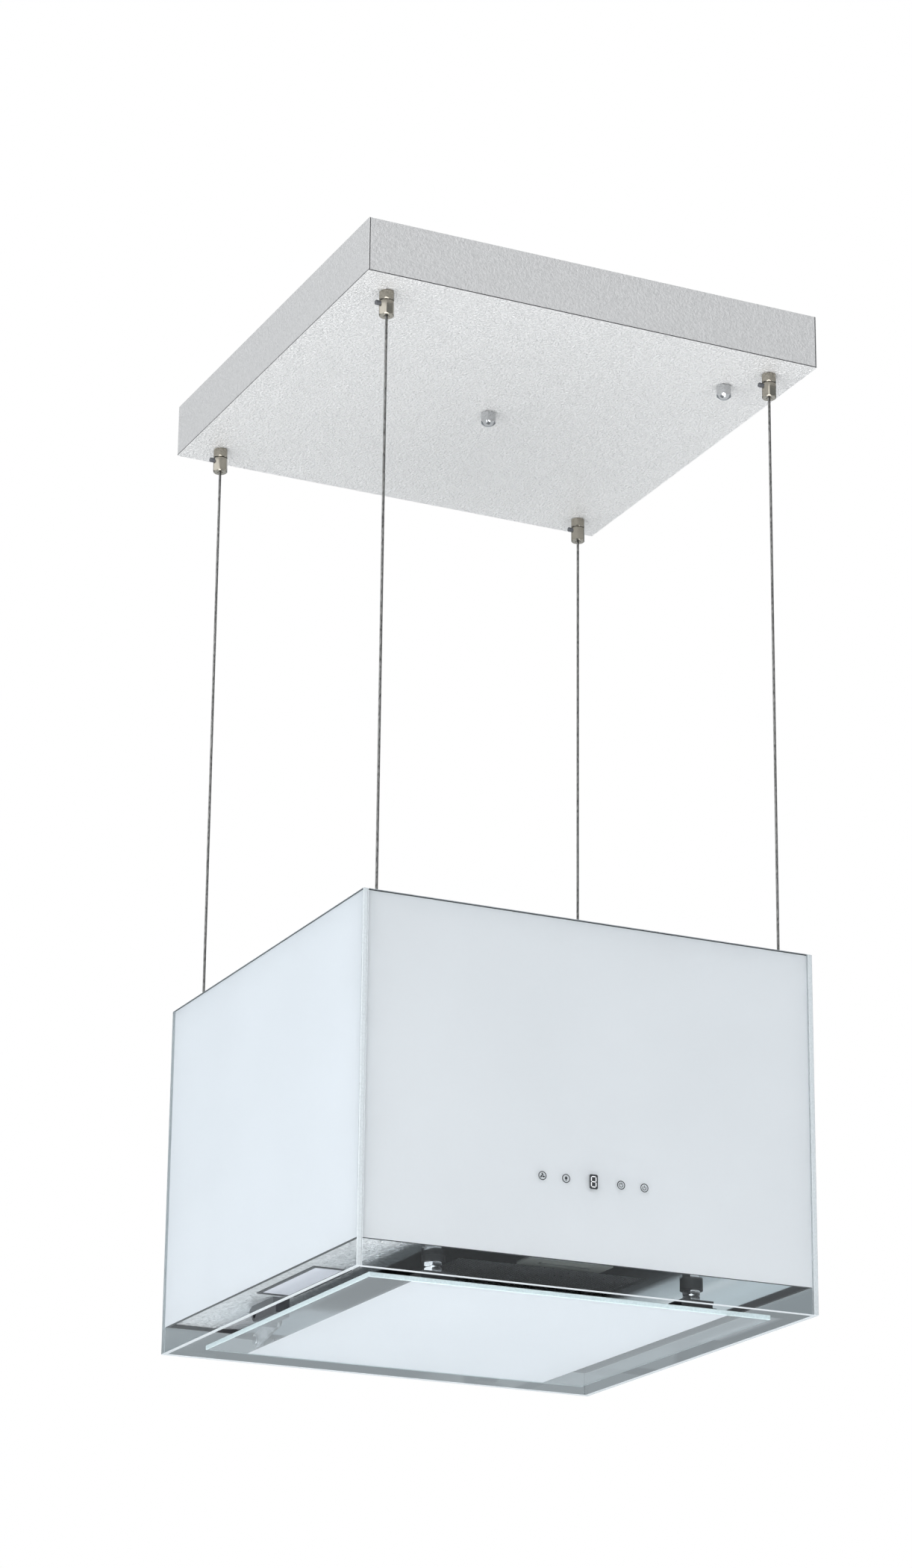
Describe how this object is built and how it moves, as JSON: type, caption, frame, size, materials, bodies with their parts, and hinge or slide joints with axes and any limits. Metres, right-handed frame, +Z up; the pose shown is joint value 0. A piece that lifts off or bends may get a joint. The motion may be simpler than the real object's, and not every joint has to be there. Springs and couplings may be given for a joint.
{
  "type": "island range hood",
  "caption": "Cube-shaped island range hood in white-painted glass, hung by wire ropes from a square steel ceiling box, with a drop-down glass baffle panel underneath.",
  "frame": {"origin": "middle of the ceiling plate's upper face, which lies against the ceiling", "axes": "+Z up into the ceiling, +X to the right of someone facing the touch controls, +Y from the front glass to the back glass"},
  "size_m": [0.42, 0.42, 0.866],
  "materials": {
    "hammered_steel": "hammered silver lacquer on folded steel",
    "galvanised_steel": "zinc-plated sheet",
    "polished_steel": "polished stainless sheet",
    "nickel": "bright nickel plate",
    "chrome": "bright chrome plate",
    "wire_rope": "stranded stainless wire",
    "white_glass": "clear toughened glass, back-painted white above the skirt",
    "baffle_white_glass": "clear toughened glass with a white painted middle",
    "black_rubber": "matte black",
    "dark_plastic": "matte moulded",
    "pin_steel": "blackened steel",
    "lens": "frosted diffuser",
    "mesh": "multi-layer expanded mesh",
    "aluminium": "satin extrusion",
    "latch_metal": "olive-grey coated plate",
    "carbon": "carbon fleece in a frame",
    "circuit": "circuit board",
    "foam_tape": "white adhesive foam"
  },
  "bodies": {
    "ceiling": {"ceiling_plate": "galvanised_steel", "hanger_posts": "galvanised_steel", "canopy_cover": "hammered_steel", "cover_studs": "galvanised_steel", "cover_cap_nuts": "chrome", "grip_nuts": "nickel", "grip_front_left": "nickel", "grip_front_right": "nickel", "grip_back_left": "nickel", "grip_back_right": "nickel"},
    "hood": {"cable_anchors": "nickel", "anchor_nuts": "galvanised_steel", "hanger_rails": "galvanised_steel", "glass_left": "white_glass", "glass_right": "white_glass", "glass_front": "white_glass", "glass_back": "white_glass", "glass_pads": "foam_tape", "casing_walls": "galvanised_steel", "casing_floor": "polished_steel", "edge_lip": "black_rubber", "casing_top": "polished_steel", "outlet_grille": "polished_steel", "outlet_screws": "chrome", "blower_deck": "galvanised_steel", "blower_scroll": "dark_plastic", "blower_motor": "aluminium", "carbon_filter": "carbon", "control_box": "dark_plastic", "run_capacitor": "dark_plastic", "supply_gland": "dark_plastic", "touch_board": "circuit", "touch_keys": "dark_plastic", "display_module": "dark_plastic", "lamp_rims": "chrome", "lamp_lenses": "lens", "lamp_boxes": "aluminium", "filter_frame": "aluminium", "filter_mesh": "mesh", "latch_plate": "latch_metal", "hinge_brackets": "pin_steel", "bracket_pins": "chrome", "catch_sleeves": "dark_plastic", "catch_posts": "chrome", "cable_front_left": "wire_rope", "cable_front_right": "wire_rope", "cable_back_left": "wire_rope", "cable_back_right": "wire_rope"},
    "panel": {"baffle_glass": "baffle_white_glass", "pivot_blocks": "galvanised_steel", "pivot_pins": "chrome", "catch_pads": "black_rubber"},
    "arm_left": {"swing_arm_left": "galvanised_steel"},
    "arm_right": {"swing_arm_right": "galvanised_steel"},
    "fan": {"fan_wheel": "dark_plastic"},
    "latch": {"filter_latch": "latch_metal"},
    "pin_front_left": {"release_pin_front_left": "pin_steel"},
    "pin_front_right": {"release_pin_front_right": "pin_steel"},
    "pin_back_left": {"release_pin_back_left": "pin_steel"},
    "pin_back_right": {"release_pin_back_right": "pin_steel"}
  },
  "joints": [
    {"name": "height_adjust", "type": "slide", "parent": "ceiling", "child": "hood", "axis": [0, 0, 1], "range_m": [-0.008, 0.028]},
    {"name": "arm_left_swing", "type": "hinge", "parent": "hood", "child": "arm_left", "pos_m": [-0.14, 0.095, -0.8471], "axis": [-1, 0, 0], "range_deg": [0, 70]},
    {"name": "arm_right_swing", "type": "hinge", "parent": "hood", "child": "arm_right", "pos_m": [0.14, 0.095, -0.8471], "axis": [-1, 0, 0], "range_deg": [0, 70]},
    {"name": "baffle_fold", "type": "hinge", "parent": "arm_left", "child": "panel", "pos_m": [0, 0.136, -0.8554], "axis": [1, 0, 0], "range_deg": [0, 160]},
    {"name": "fan_spin", "type": "hinge", "parent": "hood", "child": "fan", "pos_m": [0, 0.01, -0.7], "axis": [0, 0, 1], "continuous": true},
    {"name": "filter_latch_slide", "type": "slide", "parent": "hood", "child": "latch", "axis": [0, 1, 0], "range_m": [0, 0.004], "stiffness_N_per_m": 400, "springref_m": -0.002},
    {"name": "release_front_left", "type": "slide", "parent": "ceiling", "child": "pin_front_left", "axis": [1, 0, 0], "range_m": [0, 0.0015], "stiffness_N_per_m": 800, "springref_m": -0.001},
    {"name": "release_front_right", "type": "slide", "parent": "ceiling", "child": "pin_front_right", "axis": [1, 0, 0], "range_m": [0, 0.0015], "stiffness_N_per_m": 800, "springref_m": -0.001},
    {"name": "release_back_left", "type": "slide", "parent": "ceiling", "child": "pin_back_left", "axis": [1, 0, 0], "range_m": [0, 0.0015], "stiffness_N_per_m": 800, "springref_m": -0.001},
    {"name": "release_back_right", "type": "slide", "parent": "ceiling", "child": "pin_back_right", "axis": [1, 0, 0], "range_m": [0, 0.0015], "stiffness_N_per_m": 800, "springref_m": -0.001}
  ],
  "couplings": [
    {"joint": "arm_left_swing", "follows": "baffle_fold", "ratio": 0.4375},
    {"joint": "arm_right_swing", "follows": "baffle_fold", "ratio": 0.4375}
  ]
}
